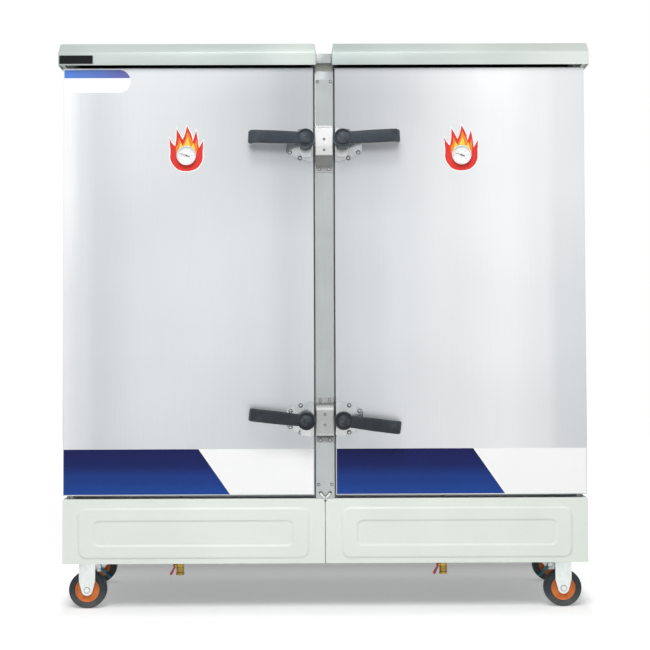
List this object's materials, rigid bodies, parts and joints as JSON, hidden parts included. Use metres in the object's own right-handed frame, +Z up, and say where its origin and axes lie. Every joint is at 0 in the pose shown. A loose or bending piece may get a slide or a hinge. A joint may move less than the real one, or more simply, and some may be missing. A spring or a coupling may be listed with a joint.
{
  "type": "rice steamer cabinet",
  "caption": "Two-door insulated steam cabinet on a wheeled base, with tray racks inside, bar-handle cam latches, dial thermometers and drain valves.",
  "frame": {"origin": "on the floor, under the middle of the overall box", "axes": "+X to the right as one faces the doors, +Y to the back of the cabinet, +Z up"},
  "size_m": [1.458, 0.676, 1.5166],
  "materials": {
    "body_stainless": "satin brushed stainless sheet",
    "door_stainless": "satin stainless sheet with soft vertical bands",
    "cover_stainless": "satin stainless sheet",
    "post_stainless": "brushed stainless sheet",
    "bright_stainless": "bright stainless",
    "inner_stainless": "plain stainless of the steam chamber",
    "base_paint": "pale grey-green paint",
    "frame_steel": "grey painted steel",
    "handle_dark": "dark grey cast handle, satin",
    "fork_white": "white plated steel",
    "wheel_rubber": "dark grey moulded tyre on an orange hub",
    "pedal_teal": "teal plastic",
    "brass": "yellow brass",
    "lever_red": "red dipped lever",
    "gasket": "grey silicone rubber",
    "dial_white": "white dial in a bright case",
    "pointer_black": "black",
    "lens": "clear"
  },
  "bodies": {
    "cabinet": {"base_frame": "frame_steel", "base_skirt": "base_paint", "centre_post": "post_stainless", "post_cover_strip": "post_stainless", "upper_keeper": "bright_stainless", "lower_keeper": "bright_stainless", "base_panel_left": "base_paint", "outer_shell_left": "body_stainless", "liner_left": "inner_stainless", "top_cover_left": "cover_stainless", "upper_pivot_left": "frame_steel", "tray_rack_left": "bright_stainless", "rice_tray_left_1": "bright_stainless", "rice_tray_left_2": "bright_stainless", "water_heater_left": "inner_stainless", "drain_valve_left": "brass", "front_caster_fork_left": "fork_white", "rear_caster_plate_left": "fork_white", "base_panel_right": "base_paint", "outer_shell_right": "body_stainless", "liner_right": "inner_stainless", "top_cover_right": "cover_stainless", "upper_pivot_right": "frame_steel", "tray_rack_right": "bright_stainless", "rice_tray_right_1": "bright_stainless", "rice_tray_right_2": "bright_stainless", "water_heater_right": "inner_stainless", "drain_valve_right": "brass", "front_caster_fork_right": "fork_white", "rear_caster_plate_right": "fork_white"},
    "door_left": {"door_skin_left": "door_stainless", "door_liner_left": "inner_stainless", "door_gasket_left": "gasket", "thermometer_case_left": "dial_white", "thermometer_lens_left": "lens", "upper_latch_plate_left": "body_stainless", "lower_latch_plate_left": "body_stainless"},
    "pointer_left": {"thermometer_pointer_left": "pointer_black"},
    "handle_upper_left": {"upper_latch_handle_left": "handle_dark"},
    "handle_lower_left": {"lower_latch_handle_left": "handle_dark"},
    "drain_lever_body_left": {"drain_lever_left": "lever_red"},
    "front_wheel_body_left": {"front_wheel_left": "wheel_rubber"},
    "rear_swivel_left": {"rear_caster_fork_left": "fork_white"},
    "rear_wheel_body_left": {"rear_wheel_left": "wheel_rubber"},
    "brake_left": {"brake_pedal_left": "pedal_teal"},
    "door_right": {"door_skin_right": "door_stainless", "door_liner_right": "inner_stainless", "door_gasket_right": "gasket", "thermometer_case_right": "dial_white", "thermometer_lens_right": "lens", "upper_latch_plate_right": "body_stainless", "lower_latch_plate_right": "body_stainless"},
    "pointer_right": {"thermometer_pointer_right": "pointer_black"},
    "handle_upper_right": {"upper_latch_handle_right": "handle_dark"},
    "handle_lower_right": {"lower_latch_handle_right": "handle_dark"},
    "drain_lever_body_right": {"drain_lever_right": "lever_red"},
    "front_wheel_body_right": {"front_wheel_right": "wheel_rubber"},
    "rear_swivel_right": {"rear_caster_fork_right": "fork_white"},
    "rear_wheel_body_right": {"rear_wheel_right": "wheel_rubber"},
    "brake_right": {"brake_pedal_right": "pedal_teal"}
  },
  "joints": [
    {"name": "door_hinge_left", "type": "hinge", "parent": "cabinet", "child": "door_left", "pos_m": [-0.676, -0.249, 0.88], "axis": [0, 0, -1], "range_deg": [0, 115]},
    {"name": "thermometer_left", "type": "hinge", "parent": "door_left", "child": "pointer_left", "pos_m": [-0.368, -0.28, 1.2153], "axis": [0, 1, 0], "range_deg": [-63.5, 206.5]},
    {"name": "latch_upper_left", "type": "hinge", "parent": "door_left", "child": "handle_upper_left", "pos_m": [-0.049, -0.304, 1.2533], "axis": [0, -1, 0], "range_deg": [-6, 87]},
    {"name": "latch_lower_left", "type": "hinge", "parent": "door_left", "child": "handle_lower_left", "pos_m": [-0.049, -0.304, 0.5083], "axis": [0, -1, 0], "range_deg": [-1.5, 91.5]},
    {"name": "drain_valve_turn_left", "type": "hinge", "parent": "cabinet", "child": "drain_lever_body_left", "pos_m": [-0.4112, -0.202, 0.114], "axis": [-1, 0, 0], "range_deg": [0, 90]},
    {"name": "front_wheel_spin_left", "type": "hinge", "parent": "cabinet", "child": "front_wheel_body_left", "pos_m": [-0.643, -0.194, 0.05], "axis": [0, 1, 0], "continuous": true},
    {"name": "rear_caster_swivel_left", "type": "hinge", "parent": "cabinet", "child": "rear_swivel_left", "pos_m": [-0.643, 0.212, 0.108], "axis": [0, 0, 1], "continuous": true},
    {"name": "rear_wheel_spin_left", "type": "hinge", "parent": "rear_swivel_left", "child": "rear_wheel_body_left", "pos_m": [-0.679, 0.212, 0.05], "axis": [0, 1, 0], "continuous": true},
    {"name": "brake_pedal_left", "type": "hinge", "parent": "rear_swivel_left", "child": "brake_left", "pos_m": [-0.6695, 0.1907, 0.0425], "axis": [0, -1, 0], "range_deg": [0, 25]},
    {"name": "door_hinge_right", "type": "hinge", "parent": "cabinet", "child": "door_right", "pos_m": [0.676, -0.249, 0.88], "axis": [0, 0, 1], "range_deg": [0, 115]},
    {"name": "thermometer_right", "type": "hinge", "parent": "door_right", "child": "pointer_right", "pos_m": [0.368, -0.28, 1.2153], "axis": [0, 1, 0], "range_deg": [-63.5, 206.5]},
    {"name": "latch_upper_right", "type": "hinge", "parent": "door_right", "child": "handle_upper_right", "pos_m": [0.049, -0.304, 1.2533], "axis": [0, 1, 0], "range_deg": [-5.2, 87.8]},
    {"name": "latch_lower_right", "type": "hinge", "parent": "door_right", "child": "handle_lower_right", "pos_m": [0.049, -0.304, 0.5083], "axis": [0, 1, 0], "range_deg": [-15.4, 77.6]},
    {"name": "drain_valve_turn_right", "type": "hinge", "parent": "cabinet", "child": "drain_lever_body_right", "pos_m": [0.3008, -0.202, 0.114], "axis": [-1, 0, 0], "range_deg": [0, 90]},
    {"name": "front_wheel_spin_right", "type": "hinge", "parent": "cabinet", "child": "front_wheel_body_right", "pos_m": [0.643, -0.194, 0.05], "axis": [0, 1, 0], "continuous": true},
    {"name": "rear_caster_swivel_right", "type": "hinge", "parent": "cabinet", "child": "rear_swivel_right", "pos_m": [0.643, 0.212, 0.108], "axis": [0, 0, 1], "continuous": true},
    {"name": "rear_wheel_spin_right", "type": "hinge", "parent": "rear_swivel_right", "child": "rear_wheel_body_right", "pos_m": [0.679, 0.212, 0.05], "axis": [0, 1, 0], "continuous": true},
    {"name": "brake_pedal_right", "type": "hinge", "parent": "rear_swivel_right", "child": "brake_right", "pos_m": [0.6695, 0.1907, 0.0425], "axis": [0, 1, 0], "range_deg": [0, 25]}
  ]
}
